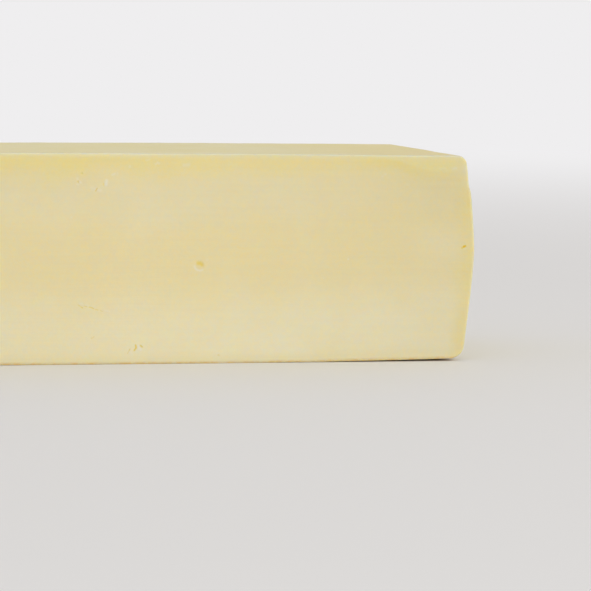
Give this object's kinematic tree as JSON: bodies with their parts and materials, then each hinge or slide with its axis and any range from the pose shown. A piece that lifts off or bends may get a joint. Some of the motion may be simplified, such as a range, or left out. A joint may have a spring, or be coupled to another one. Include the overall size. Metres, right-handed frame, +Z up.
{
  "type": "gouda cheese block",
  "caption": "Block of young rindless gouda with moulded bulging ends and a smooth wire-cut face that shows a small round eye and tears; lies flat as food on a board or counter.",
  "frame": {"origin": "middle of the underside that the block rests on", "axes": "+X along the length of the block, +Y from the shown cut face to the back cut face, +Z up"},
  "size_m": [0.3, 0.125, 0.1],
  "materials": {
    "cheese_paste": "pale butter-yellow cheese paste, satin and faintly moist, a little deeper yellow along the moulded skin"
  },
  "bodies": {
    "root": {"cheese_block": "cheese_paste"}
  },
  "joints": []
}
